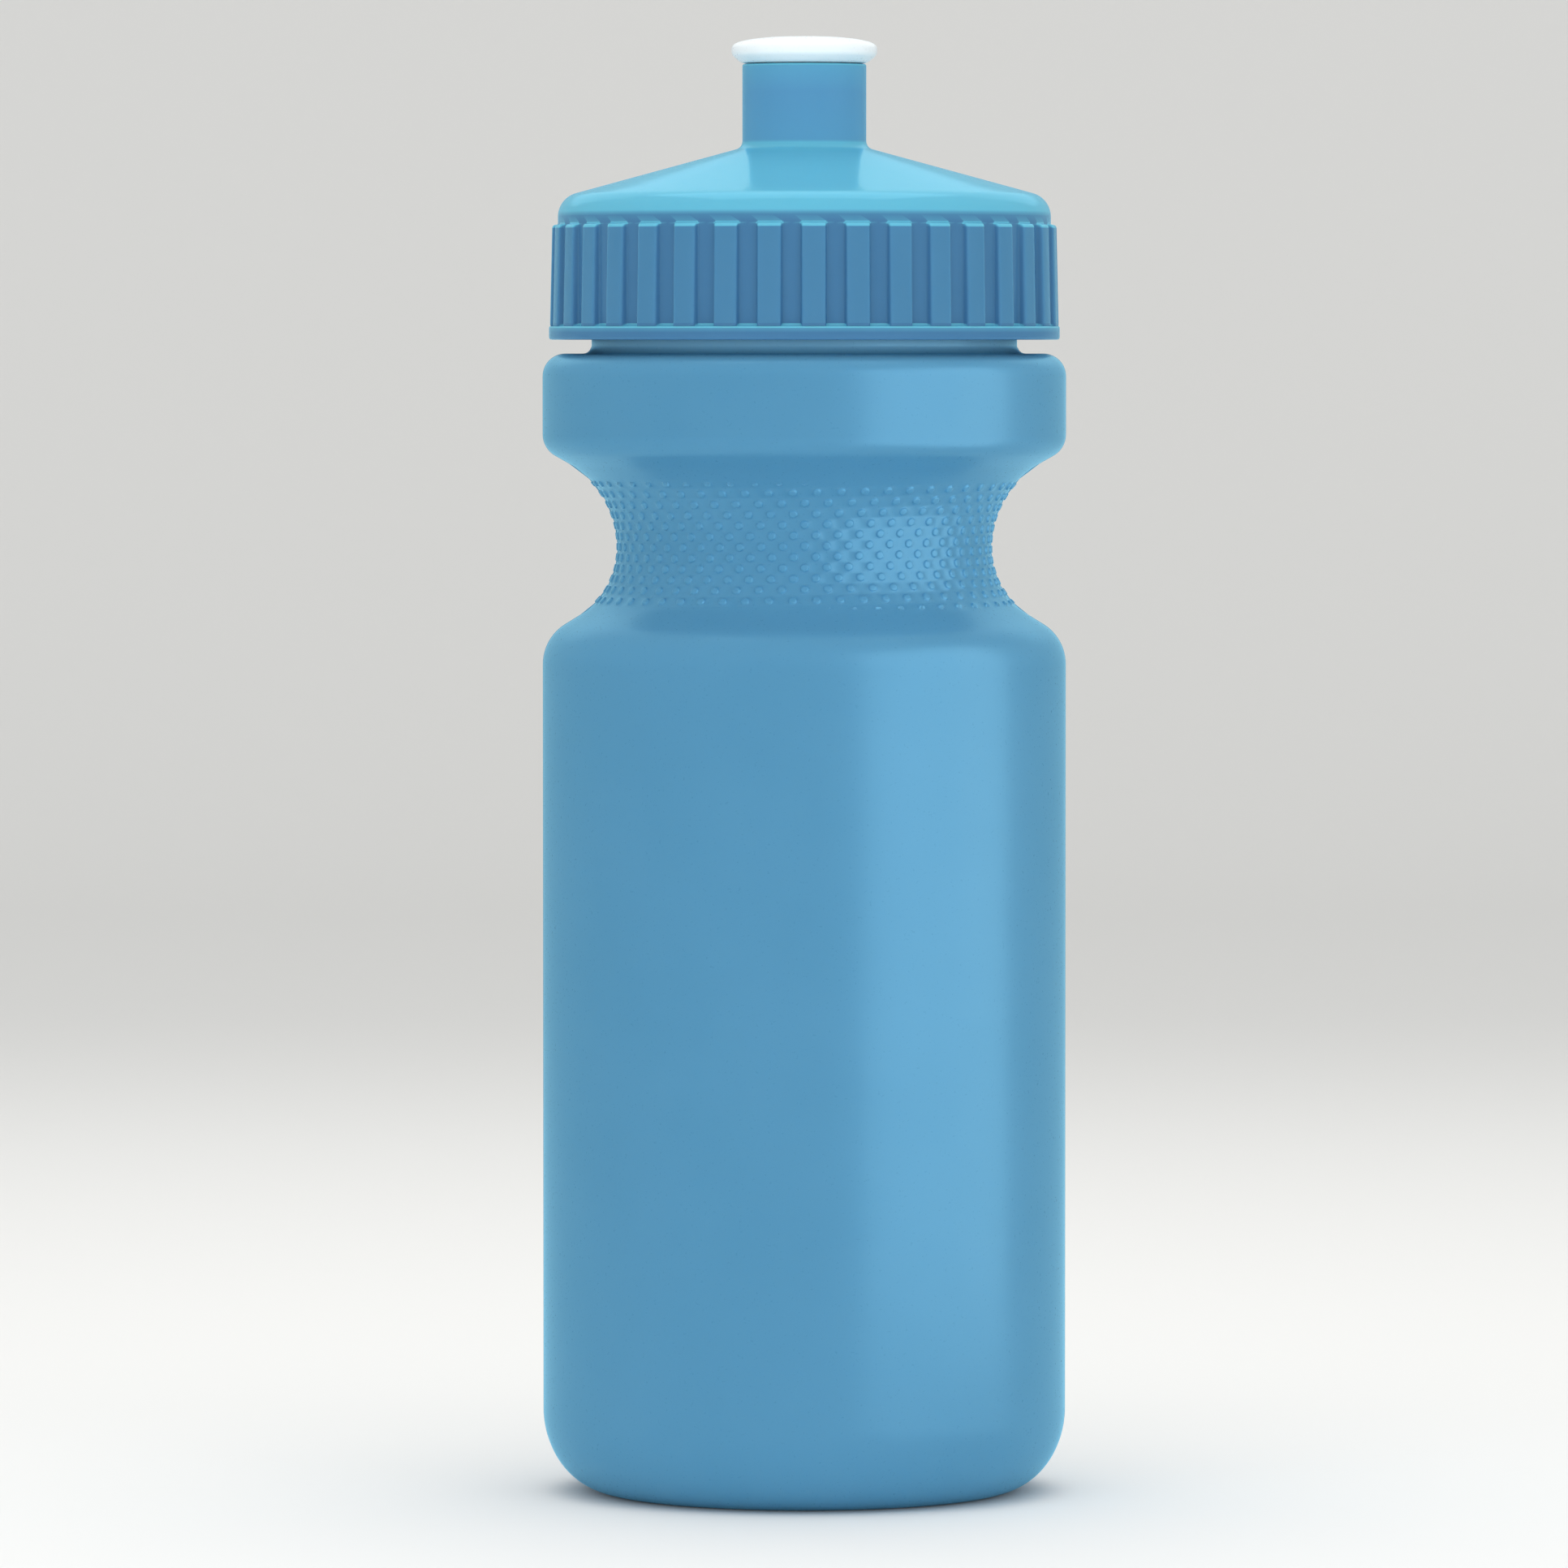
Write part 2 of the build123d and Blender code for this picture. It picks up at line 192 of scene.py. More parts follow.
# ---- mesh building ----
class Mesh:
    """Points in mm and faces, gathered until made into one Blender object."""

    def __init__(self):
        self.points = []
        self.faces = []

    def ring(self, spots):
        """Adds points and returns their numbers."""
        start = len(self.points)
        self.points.extend(spots)
        return list(range(start, len(self.points)))

    def circle(self, radius, z, angles):
        """A level ring of points at these angles, in degrees."""
        return self.ring([(radius * cos(radians(a)), radius * sin(radians(a)), z) for a in angles])

    def join(self, first, second):
        """Four-sided faces between two closed rings with as many points."""
        for i in range(len(first)):
            j = (i + 1) % len(first)
            self.faces.append((first[i], first[j], second[j], second[i]))

    def zip(self, first, second):
        """Three-sided faces between two closed rings with different numbers of points."""
        def turn_of(ring):
            turns = [degrees(atan2(self.points[i][1], self.points[i][0])) % 360 for i in ring]
            start = turns.index(min(turns))
            order = [ring[(start + k) % len(ring)] for k in range(len(ring))]
            angle = [turns[(start + k) % len(ring)] for k in range(len(ring))]
            if len(angle) > 2 and angle[1] > angle[-1]:
                order = [order[0]] + order[:0:-1]
                angle = [angle[0]] + angle[:0:-1]
            return order + [order[0]], angle + [angle[0] + 360]
        a, a_turn = turn_of(first)
        b, b_turn = turn_of(second)
        i = j = 0
        while i < len(a) - 1 or j < len(b) - 1:
            if j == len(b) - 1 or (i < len(a) - 1 and a_turn[i + 1] <= b_turn[j + 1]):
                self.faces.append((a[i], a[i + 1], b[j]))
                i += 1
            else:
                self.faces.append((a[i], b[j + 1], b[j]))
                j += 1

    def pole(self, ring, z):
        """Closes a ring with a fan to a point on the axis."""
        middle = self.ring([(0.0, 0.0, z)])[0]
        for i in range(len(ring)):
            self.faces.append((ring[i], ring[(i + 1) % len(ring)], middle))

    def lathe(self, outline, columns):
        """Turns an outline round Z and returns its rings; a point on the axis makes a pole."""
        angles = [360.0 * i / columns for i in range(columns)]
        rings = []
        for radius, z in outline:
            if radius < 1e-6:
                continue
            rings.append(self.circle(radius, z, angles))
            if len(rings) > 1:
                self.join(rings[-2], rings[-1])
        if outline[0][0] < 1e-6:
            self.pole(rings[0], outline[0][1])
        if outline[-1][0] < 1e-6:
            self.pole(rings[-1], outline[-1][1])
        return rings

    def closed_lathe(self, outline, columns):
        """Turns a closed outline round Z."""
        rings = self.lathe(outline, columns)
        self.join(rings[-1], rings[0])

    def made(self, name, sharp=40.0):
        """The Blender object, in metres, with edges over that many degrees kept crisp."""
        mesh = bpy.data.meshes.new(name)
        mesh.from_pydata([Vector(p) * MM for p in self.points], [], self.faces)
        made = bmesh.new()
        made.from_mesh(mesh)
        bmesh.ops.recalc_face_normals(made, faces=made.faces)
        made.to_mesh(mesh)
        made.free()
        mesh.shade_smooth()
        mesh.set_sharp_from_angle(angle=radians(sharp))
        piece = bpy.data.objects.new(name, mesh)
        bpy.context.scene.collection.objects.link(piece)
        return piece


def thread_ridge(shell, radius, outward, start_z, start_angle):
    """Adds a rounded right-hand ridge to a wall, outward (1) on the neck or inward (-1) in the lid."""
    half = [(-0.5, 1.45), (0.0, 1.42), (0.1, 1.3), (0.3, 1.2), (1.5, 0.74), (1.76, 0.62), (1.9, 0.38)]
    section = [(x, -y) for x, y in half] + [(x, y) for x, y in reversed(half)]
    total = 360 * THREAD_TURNS + 2 * LEAD_IN
    rings = []
    for i in range(int(total / THREAD_STEP) + 1):
        turn = -LEAD_IN + i * THREAD_STEP
        fade = min(1.0, (turn + LEAD_IN) / LEAD_IN, (total - LEAD_IN - turn) / LEAD_IN)
        scale = 0.03 + 0.97 * sin(max(fade, 0.0) * pi / 2)
        angle = radians(start_angle + turn)
        spots = []
        for x, y in section:
            away = radius + outward * (x if x < 0 else x * scale)
            spots.append((away * cos(angle), away * sin(angle),
                          start_z + PITCH * turn / 360 + y * (0.4 + 0.6 * scale)))
        rings.append(shell.ring(spots))
        if len(rings) > 1:
            shell.join(rings[-2], rings[-1])
    shell.faces.append(tuple(rings[0]))
    shell.faces.append(tuple(rings[-1]))


# ---- squeeze bottle ----
DOT_COLUMNS = DOTS_PER_ROW * 4
HALF_CELL = DOT_ROW_STEP / 2
# rings of one dot as (share of its radius, share of its height): a low flat disc with a soft edge
DOT_RINGS = ((1.1, 0.0), (1.02, 0.1), (0.95, 0.48), (0.86, 0.82), (0.74, 0.96), (0.4, 1.0))
LATTICE_BOTTOM = FIRST_DOT_Z - HALF_CELL
LATTICE_TOP = FIRST_DOT_Z + (DOT_ROWS - 1) * DOT_ROW_STEP + HALF_CELL
# the plain wall stops clear of the lattice's edges, which lean
BELOW_DOTS_Z = LATTICE_BOTTOM - 1.6 * DOT_LEAN
ABOVE_DOTS_Z = LATTICE_TOP + 1.5 * DOT_LEAN
NEAR_WAIST = 0.01  # keeps the two halves of a plain grip outline from sharing a point


def grip_point(angle, z, proud=0.0):
    """A point on the leaning rows at an angle in degrees and a height, standing proud of the grip."""
    z += DOT_LEAN * cos(radians(angle))
    if not DOT_BAND[0] < z < DOT_BAND[1]:
        proud = 0.0
    radius, (radial, up) = grip_at(z)
    away = radius + radial * proud
    return (away * cos(radians(angle)), away * sin(radians(angle)), z + up * proud)


def dotted_band(shell, lowest):
    """Adds the grip's dotted band over a ring of DOT_COLUMNS points and returns its top ring.

    Each dot has a cell of its own, like a brick in a wall, and the rows are bonded by half a brick.
    """
    quarter = 360 / DOT_COLUMNS
    below = lowest
    for row in range(DOT_ROWS):
        middle_z = FIRST_DOT_Z + row * DOT_ROW_STEP
        shift = 2 * ((row + 1) % 2)
        above = shell.ring([grip_point(i * quarter, middle_z + HALF_CELL) for i in range(DOT_COLUMNS)])
        sides = shell.ring([grip_point((4 * i - 2 + shift) * quarter, middle_z)
                            for i in range(DOTS_PER_ROW)])
        radius, (radial, up) = grip_at(middle_z)
        for column in range(DOTS_PER_ROW):
            centre = 4 * column + shift
            right = sides[(column + 1) % DOTS_PER_ROW]
            left = sides[column]
            upper = [above[(centre + k) % DOT_COLUMNS] for k in (2, 1, 0, -1, -2)]
            lower = [below[(centre + k) % DOT_COLUMNS] for k in (-2, -1, 0, 1, 2)]
            border = [right] + upper + [left] + lower
            steps = [(2, 0), (2, 1), (1, 1), (0, 1), (-1, 1), (-2, 1), (-2, 0), (-2, -1), (-1, -1),
                     (0, -1), (1, -1), (2, -1)]
            rings = [border]
            for size, proud in DOT_RINGS:
                spots = []
                for along, rise in steps:
                    turn = atan2(rise * HALF_CELL / radial, radians(along * quarter) * radius)
                    out_x, out_z = DOT_R * size * cos(turn), DOT_R * size * sin(turn)
                    spots.append(grip_point(centre * quarter + degrees(out_x / radius),
                                            middle_z + out_z * radial, proud * DOT_PROUD))
                rings.append(shell.ring(spots))
                shell.join(rings[-2], rings[-1])
            shell.faces.append(tuple(rings[-1]))
        below = above
    return below


def push_up_height(away):
    """The underside's height inside the foot, at a distance from the axis."""
    return PUSH_UP - (PUSH_UP - PUSH_UP_EDGE_Z) * (away / PUSH_UP_EDGE_R) ** 2


def base_corner():
    return arc((BODY_R - CORNER_R, CORNER_H), (CORNER_R, CORNER_H), -pi / 2, 0, 28)


def outside_below_dots():
    """From the push-up round the foot, up the side and over the crown to the dotted band."""
    dome = [(r, push_up_height(r)) for r in (2.0, 5.0, 8.0, 11.0, 14.0, 16.5)]
    foot = rounded([dome[-1], (PUSH_UP_EDGE_R, PUSH_UP_EDGE_Z), (FOOT_INNER_R, 0.0),
                    (BODY_R - CORNER_R, 0.0)], [1.2, 0.8])
    crown = arc((BODY_R - LOWER_CROWN_R, BODY_TOP_Z), [LOWER_CROWN_R] * 2, 0, LOW_TURN, 12)
    outline = dome[:-1] + foot[:-1] + base_corner()
    outline += line((BODY_R, CORNER_H), (BODY_R, BODY_TOP_Z), 10)[:-1]
    return outline + crown + line(crown[-1], (grip_at(BELOW_DOTS_Z)[0], BELOW_DOTS_Z), 2)


def ring_outside():
    """The ring over the grip, from its widest point to the foot of the neck."""
    outline = line((BODY_R, RING_Z), (BODY_R, RING_TOP_Z - RING_CORNER_R), 3)
    outline += arc((BODY_R - RING_CORNER_R, RING_TOP_Z - RING_CORNER_R), [RING_CORNER_R] * 2,
                   0, pi / 2, 10)[1:]
    outline += line((BODY_R - RING_CORNER_R, RING_TOP_Z), (NECK_R + NECK_FILLET, RING_TOP_Z), 2)
    return outline + arc((NECK_R + NECK_FILLET, RING_TOP_Z + NECK_FILLET), [NECK_FILLET] * 2,
                         -pi / 2, -pi, 6)[1:]


def outside_above_dots():
    """From the dotted band up over the ring and the neck, and just inside the rim."""
    neck = rounded([(NECK_R, RING_TOP_Z + NECK_FILLET), (NECK_R, RIM_Z), (NECK_BORE_R, RIM_Z),
                    (NECK_BORE_R, RIM_Z - 3)], 0.5)
    return grip_upper(0.0, ABOVE_DOTS_Z, 10) + ring_outside() + neck[1:]


def bottle_inside():
    """From the neck's bore down the inside of the wall to the push-up."""
    inner_r = BODY_R - WALL
    floor_r = inner_r - (CORNER_R - WALL)
    outline = rounded([(NECK_BORE_R, RIM_Z - 4), (NECK_BORE_R, RING_TOP_Z - WALL),
                       (BODY_R - RING_CORNER_R, RING_TOP_Z - WALL)], 0.8)
    outline += arc((BODY_R - RING_CORNER_R, RING_TOP_Z - RING_CORNER_R), [RING_CORNER_R - WALL] * 2,
                   pi / 2, 0, 6)[1:]
    outline += list(reversed(grip_upper(WALL, WAIST_Z + NEAR_WAIST, 12)))
    outline += list(reversed(grip_lower(WALL, WAIST_Z - NEAR_WAIST, 12)))
    outline += line((inner_r, BODY_TOP_Z), (inner_r, CORNER_H), 8)
    outline += arc((floor_r, CORNER_H), (CORNER_R - WALL, CORNER_H - WALL), 0, -pi / 2, 12)[1:]
    return outline + rounded([outline[-1], (PUSH_UP_EDGE_R, WALL + PUSH_UP_EDGE_Z),
                              (2.0, PUSH_UP + WALL)], 2.0)[1:]


def pinch_off_seam(shell):
    """Adds the low ridge across the push-up, where the mould closed the end of the tube."""
    rows = []
    for x in SEAM_STATIONS:
        z = push_up_height(x)
        crest_z = z - (0.0 if abs(x) > SEAM_FULL_TO else SEAM_PROUD)
        rows.append(shell.ring([(x, -0.45, z + 0.2), (x, -0.4, z), (x, -0.12, crest_z),
                                (x, 0.12, crest_z), (x, 0.4, z), (x, 0.45, z + 0.2)]))
        if len(rows) > 1:
            shell.join(rows[-2], rows[-1])
    shell.faces += [tuple(rows[0]), tuple(rows[-1])]


def parting_lines(shell):
    """Adds the fine ridge where the two halves of the mould met, up both sides."""
    side = base_corner()[4:] + line((BODY_R, CORNER_H), (BODY_R, BODY_TOP_Z), 2)[:-1]
    side += grip_lower(0.0, WAIST_Z - NEAR_WAIST, 12) + grip_upper(0.0, WAIST_Z + NEAR_WAIST, 12)
    side += ring_outside()[:-1]
    for facing in (1, -1):
        rows = []
        for i, (radius, z) in enumerate(side):
            before, after = side[max(i - 1, 0)], side[min(i + 1, len(side) - 1)]
            along = Vector((after[0] - before[0], after[1] - before[1])).normalized()
            out = Vector((along.y, -along.x))
            rows.append(shell.ring([(facing * (radius + out.x * lift), across, z + out.y * lift)
                                    for across, lift in PARTING_LINE]))
            if i:
                shell.join(rows[-2], rows[-1])
        shell.faces += [tuple(rows[0]), tuple(rows[-1])]


def bottle_mesh():
    shell = Mesh()
    angles = [360.0 * i / DOT_COLUMNS for i in range(DOT_COLUMNS)]
    rings = shell.lathe(outside_below_dots(), DOT_COLUMNS)
    shell.pole(rings[0], PUSH_UP)
    below = shell.ring([grip_point(a, LATTICE_BOTTOM) for a in angles])
    shell.join(rings[-1], below)
    top = dotted_band(shell, below)
    for radius, z in outside_above_dots():
        ring = shell.circle(radius, z, angles)
        shell.join(top, ring)
        top = ring
    # the inside has half as many columns, and no dots
    inner = shell.lathe(bottle_inside(), DOT_COLUMNS // 2)
    shell.zip(top, inner[0])
    shell.pole(inner[-1], PUSH_UP + WALL)
    thread_ridge(shell, NECK_R, 1, NECK_THREAD_Z, 0)
    pinch_off_seam(shell)
    parting_lines(shell)
    return shell


# ---- screw lid ----
# across one rib: degrees from its middle, and how far the wall stands out there, from 0 to 1
RIB_ACROSS = [(-5.0, 0), (-3.3, 0), (-2.98, 0.06), (-2.84, 0.24), (-2.74, 0.62), (-2.62, 0.84),
              (-2.4, 0.96), (-2.0, 1), (0.0, 1), (2.0, 1), (2.4, 0.96), (2.62, 0.84), (2.74, 0.62),
              (2.84, 0.24), (2.98, 0.06), (3.3, 0)]


def rib_rows():
    """Rows up the skirt as (height, radius between ribs, radius on a rib)."""
    rows = [(FLANGE_TOP_Z - 0.01, FLANGE_R - 0.62, RIB_BOTTOM_R - 0.04),
            (FLANGE_TOP_Z, SKIRT_R + 0.3, RIB_BOTTOM_R - 0.06),
            (FLANGE_TOP_Z + 0.08, SKIRT_R + 0.09, RIB_BOTTOM_R - 0.02),
            (FLANGE_TOP_Z + RIB_FOOT_H, SKIRT_R, RIB_BOTTOM_R)]
    foot_z, bevel_z = FLANGE_TOP_Z + RIB_FOOT_H, RIB_TOP_Z - RIB_BEVEL
    # rows close to both ends keep the shading of the bevels off the flat of the rib
    for share in (0.01, 0.2, 0.4, 0.6, 0.8, 0.99, 1.0):
        rows.append((foot_z + (bevel_z - foot_z) * share, SKIRT_R,
                     RIB_BOTTOM_R + (RIB_TOP_R - RIB_BOTTOM_R) * share))
    rows += [(RIB_TOP_Z - 0.16, SKIRT_R, RIB_TOP_R - 0.1), (RIB_TOP_Z - 0.03, SKIRT_R, RIB_TOP_R - 0.26),
             (RIB_TOP_Z, SKIRT_R, RIB_TOP_R - 0.45), (RIB_TOP_Z + 0.03, SKIRT_R, SKIRT_R + 0.14),
             (RIB_TOP_Z + 0.12, SKIRT_R, SKIRT_R + 0.03), (RIB_TOP_Z + 0.3, SKIRT_R, SKIRT_R)]
    return rows


def lid_mesh():
    shell = Mesh()
    across = [(RIB_FIRST_ANGLE + 360 * rib / RIB_COUNT + turn, share)
              for rib in range(RIB_COUNT) for turn, share in RIB_ACROSS]
    angles = [a for a, _ in across]
    flange = rounded([(SKIRT_BORE_R, LID_BOTTOM_Z + 0.6), (SKIRT_BORE_R, LID_BOTTOM_Z),
                      (FLANGE_R, LID_BOTTOM_Z), (FLANGE_R, FLANGE_TOP_Z),
                      (FLANGE_R - 0.6, FLANGE_TOP_Z)], [0.3, 0.4, 0.35])[1:]
    below = None
    for radius, z in flange:
        ring = shell.circle(radius, z, angles)
        if below:
            shell.join(below, ring)
        else:
            bottom = ring
        below = ring
    for z, groove_r, rib_r in rib_rows():
        ring = shell.ring([((groove_r + (rib_r - groove_r) * share) * cos(radians(a)),
                            (groove_r + (rib_r - groove_r) * share) * sin(radians(a)), z)
                           for a, share in across])
        shell.join(below, ring)
        below = ring
    # shoulder, cone, chimney and everything inside
    bend = pi / 2 - CONE_SLOPE
    reach = SHOULDER_R * tan(bend / 2)
    start_z = cone_height(SKIRT_R) - reach
    shoulder = arc((SKIRT_R - SHOULDER_R, start_z), [SHOULDER_R] * 2, 0, bend, 14)
    outer = shoulder + line(shoulder[-1], (CONE_END_R, cone_height(CONE_END_R)), 8)
    outer += rounded([outer[-1], (CHIMNEY_R, cone_height(CHIMNEY_R)), (CHIMNEY_R, CHIMNEY_TOP_Z - 4)],
                     1.0, 8)[1:]
    outer += rounded([outer[-1], (CHIMNEY_R, CHIMNEY_TOP_Z), (LIP_R, CHIMNEY_TOP_Z),
                      (LIP_R, CHIMNEY_TOP_Z - LIP_H), (CHIMNEY_BORE_R, CHIMNEY_TOP_Z - LIP_H - 0.3),
                      (CHIMNEY_BORE_R, SLEEVE_BOTTOM_Z), (CHIMNEY_R, SLEEVE_BOTTOM_Z),
                      (CHIMNEY_R, cone_height(CHIMNEY_R, ROOF)),
                      (PLUG_R - PLUG_W, cone_height(PLUG_R - PLUG_W, ROOF)),
                      (PLUG_R - PLUG_W, PLUG_BOTTOM_Z), (PLUG_R, PLUG_BOTTOM_Z), (PLUG_R, SEAT_Z),
                      (SKIRT_BORE_R, SEAT_Z), (SKIRT_BORE_R, LID_BOTTOM_Z + 0.9)],
                     [0.3, 0.25, 0.2, 0.1, 0.3, 0.3, 0.6, 0.8, 0.3, 0.4, 0.15, 0.3])[1:]
    rings = shell.lathe(outer, 144)
    shell.zip(below, rings[0])
    shell.zip(rings[-1], bottom)
    thread_ridge(shell, SKIRT_BORE_R, -1, NECK_THREAD_Z - PITCH / 4, 90)
    # centre post, rounded at its tip, on three webs
    shell.lathe([(0, WEB_BOTTOM_Z - 0.2)] + rounded([(POST_R, WEB_BOTTOM_Z - 0.2), (POST_R, POST_TOP_Z),
                                                    (0, POST_TOP_Z)], 0.5)[:-1] + [(0, POST_TOP_Z)], 48)
    for web in range(3):
        turn = radians(30 + 120 * web)
        rows = []
        for away in (1.5, CHIMNEY_BORE_R + 0.5):
            spots = []
            for side, z in ((-1, WEB_BOTTOM_Z), (1, WEB_BOTTOM_Z), (1, WEB_TOP_Z - WEB_BEVEL),
                            (0.6, WEB_TOP_Z), (-0.6, WEB_TOP_Z), (-1, WEB_TOP_Z - WEB_BEVEL)):
                spots.append((away * cos(turn) - side * WEB_W / 2 * sin(turn),
                              away * sin(turn) + side * WEB_W / 2 * cos(turn), z))
            rows.append(shell.ring(spots))
        shell.join(*rows)
        shell.faces += [tuple(rows[0]), tuple(rows[1])]
    return shell


def gasket_mesh():
    shell = Mesh()
    shell.closed_lathe(rounded([(GASKET_BORE_R, RIM_Z + 0.5), (GASKET_BORE_R, RIM_Z), (GASKET_R, RIM_Z),
                                (GASKET_R, SEAT_Z), (GASKET_BORE_R, SEAT_Z),
                                (GASKET_BORE_R, RIM_Z + 0.6)], 0.2)[:-1], 144)
    return shell


def spout_mesh():
    shell = Mesh()
    bead_top = BEAD_BOTTOM_Z + BEAD_H
    outside = rounded([(ORIFICE_R, SPOUT_ROOF_Z + 0.6), (ORIFICE_R, SPOUT_ROOF_Z),
                       (STEM_BORE_R - 0.8, SPOUT_ROOF_Z), (STEM_BORE_R, SPOUT_ROOF_Z - 0.8),
                       (STEM_BORE_R, STEM_BOTTOM_Z), (STEM_R - 0.2, STEM_BOTTOM_Z),
                       (BEAD_R, BEAD_BOTTOM_Z), (BEAD_R, bead_top - 0.4), (STEM_R, bead_top),
                       (STEM_R, SPOUT_FLOOR_Z), (8.7, SPOUT_FLOOR_Z), (9.6, 200.3),
                       (SPOUT_RIM_R, 200.85), (SPOUT_RIM_R + 0.02, 202.0), (9.35, 202.55),
                       (7.4, 202.98), (4.2, SPOUT_TOP_Z), (ORIFICE_R, SPOUT_TOP_Z),
                       (ORIFICE_R, SPOUT_ROOF_Z + 1.2)],
                      [0.1, 0.3, 0.3, 0.3, 0.3, 0.5, 0.3, 0.2, 0.2, 0.5] + [0.7] * 5 + [1.2, 0.25])
    shell.closed_lathe(outside, 96)
    return shell


bottle = bottle_mesh().made("bottle_blow_moulded")
lid = lid_mesh().made("lid_injection_moulded", 50.0)
gasket = gasket_mesh().made("gasket_ring")
spout = spout_mesh().made("spout_valve")

for piece, body, node, slot in ((bottle, "bottle", "squeeze_bottle", "bottle_ldpe"),
                                (lid, "lid", "screw_lid", "lid_plastic"),
                                (gasket, "seal", "lid_gasket", "gasket"),
                                (spout, "spout", "push_pull_spout", "spout_plastic")):
    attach(piece, body)
    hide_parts(node)


# ---- materials ----
def colour(text):
    """An sRGB hex colour as linear red, green, blue and alpha."""
    parts = [int(text[i:i + 2], 16) / 255 for i in (1, 3, 5)]
    return [p / 12.92 if p <= 0.04045 else ((p + 0.055) / 1.055) ** 2.4 for p in parts] + [1.0]


def add_node(tree, kind, settings=None, links=None):
    """Adds a node with values for its inputs or own settings, and links into its inputs."""
    made = tree.nodes.new(kind)
    for name, value in (settings or {}).items():
        if name in made.inputs:
            made.inputs[name].default_value = value
        else:
            setattr(made, name, value)
    for name, source in (links or {}).items():
        tree.links.new(source, made.inputs[name])
    return made


def facing_up(tree, full):
    """0 on walls and under overhangs, rising to 1 where the normal's upward part reaches full."""
    normal = add_node(tree, "ShaderNodeNewGeometry").outputs["Normal"]
    up = add_node(tree, "ShaderNodeSeparateXYZ", links={"Vector": normal}).outputs["Z"]
    return add_node(tree, "ShaderNodeMapRange", {"From Min": 0.0, "From Max": full},
                    {"Value": up}).outputs["Result"]


def higher_than(tree, where, z_mm, blur_mm):
    """0 under a height on the piece and 1 over it."""
    height = add_node(tree, "ShaderNodeSeparateXYZ", links={"Vector": where}).outputs["Z"]
    return add_node(tree, "ShaderNodeMapRange", {"From Min": (z_mm - blur_mm) * MM,
                                                 "From Max": (z_mm + blur_mm) * MM},
                    {"Value": height}).outputs["Result"]


def blend(tree, first, second, factor):
    """The colour between two, each a hex text or a node's output."""
    made = add_node(tree, "ShaderNodeMix", {"data_type": "RGBA"}, {"Factor": factor})
    for slot, source in ((6, first), (7, second)):
        if isinstance(source, str):
            made.inputs[slot].default_value = colour(source)
        else:
            tree.links.new(source, made.inputs[slot])
    return made.outputs[2]


def plastic(name, base, shade, body, sheen, grain, wave, lit=None, painted_light_above=None):
    """Moulded plastic with a slightly uneven colour, a mould grain and a slow waviness.

    body is the principled shader's settings; sheen is the reflection's colour, roughness, its spread
    and IOR; grain and wave are a size and a depth in mm. Real mould grain is finer than 0.1 mm and is
    drawn coarser, so that it shows. lit is a painted light colour for what faces up, and how much it
    must face up; the last argument is a height and the paler painted light colour of the wall over it.
    Both are painted light: colour standing in for light that soaks in through the plastic.
    """
    material = bpy.data.materials.new(name)
    material.use_nodes = True
    tree = material.node_tree
    tree.nodes.clear()
    where = add_node(tree, "ShaderNodeTexCoord").outputs["Object"]
    slow = add_node(tree, "ShaderNodeTexNoise", {"Scale": 1 / (wave[0] * MM), "Detail": 2.0},
                    {"Vector": where}).outputs["Fac"]
    fine = add_node(tree, "ShaderNodeTexNoise", {"Scale": 1 / (grain[0] * MM), "Detail": 3.0,
                                                 "Roughness": 0.6}, {"Vector": where}).outputs["Fac"]
    tint = blend(tree, base, shade, slow)
    # painted light: the wall over the given height is painted paler, standing in for light through a
    # thin wall
    if painted_light_above:
        tint = blend(tree, tint, painted_light_above[1], higher_than(tree, where, painted_light_above[0], 0.8))
    # painted light: faces that face up are painted lighter, standing in for light from above
    if lit:
        tint = blend(tree, tint, lit[0], facing_up(tree, lit[1]))
    sheen_colour, roughness, spread, ior = sheen
    rough = add_node(tree, "ShaderNodeMapRange", {"From Min": 0.3, "From Max": 0.7,
                                                  "To Min": roughness - spread,
                                                  "To Max": roughness + spread}, {"Value": fine})
    waves = add_node(tree, "ShaderNodeBump", {"Strength": 1.0, "Distance": wave[1] * MM},
                     {"Height": slow})
    bumps = add_node(tree, "ShaderNodeBump", {"Strength": 1.0, "Distance": grain[1] * MM},
                     {"Height": fine, "Normal": waves.outputs["Normal"]}).outputs["Normal"]
    shader = add_node(tree, "ShaderNodeBsdfPrincipled", {"IOR": ior, "Specular IOR Level": 0.0, **body},
                      {"Base Color": tint, "Roughness": rough.outputs["Result"], "Normal": bumps})
    gloss = add_node(tree, "ShaderNodeBsdfGlossy", {"Color": colour(sheen_colour)},
                     {"Roughness": rough.outputs["Result"], "Normal": bumps})
    share = add_node(tree, "ShaderNodeFresnel", {"IOR": ior}, {"Normal": bumps})
    mixed = add_node(tree, "ShaderNodeMixShader", links={0: share.outputs[0], 1: shader.outputs[0],
                                                         2: gloss.outputs[0]})
    add_node(tree, "ShaderNodeOutputMaterial", links={"Surface": mixed.outputs[0]})
    return material


# blow-moulded LDPE: waxy and translucent, with the broad soft sheen of a blasted mould, which is tinted
# with the plastic's own blue; painted light: what faces up is painted lighter, standing in for light
# from above, and the neck's thin wall is painted paler, standing in for light that soaks through it
bottle_ldpe = plastic("ldpe_blow_moulded_satin", "#4983A6", "#4F88AB",
                      {"Subsurface Weight": 0.35, "Subsurface Radius": (0.5, 0.8, 1.0),
                       "Subsurface Scale": 0.003},
                      ("#A4E4FF", 0.29, 0.02, 1.51), (0.4, 0.0015), (16.0, 0.05),
                      lit=("#5590B3", 1.0), painted_light_above=(159.5, "#6EA5C6"))
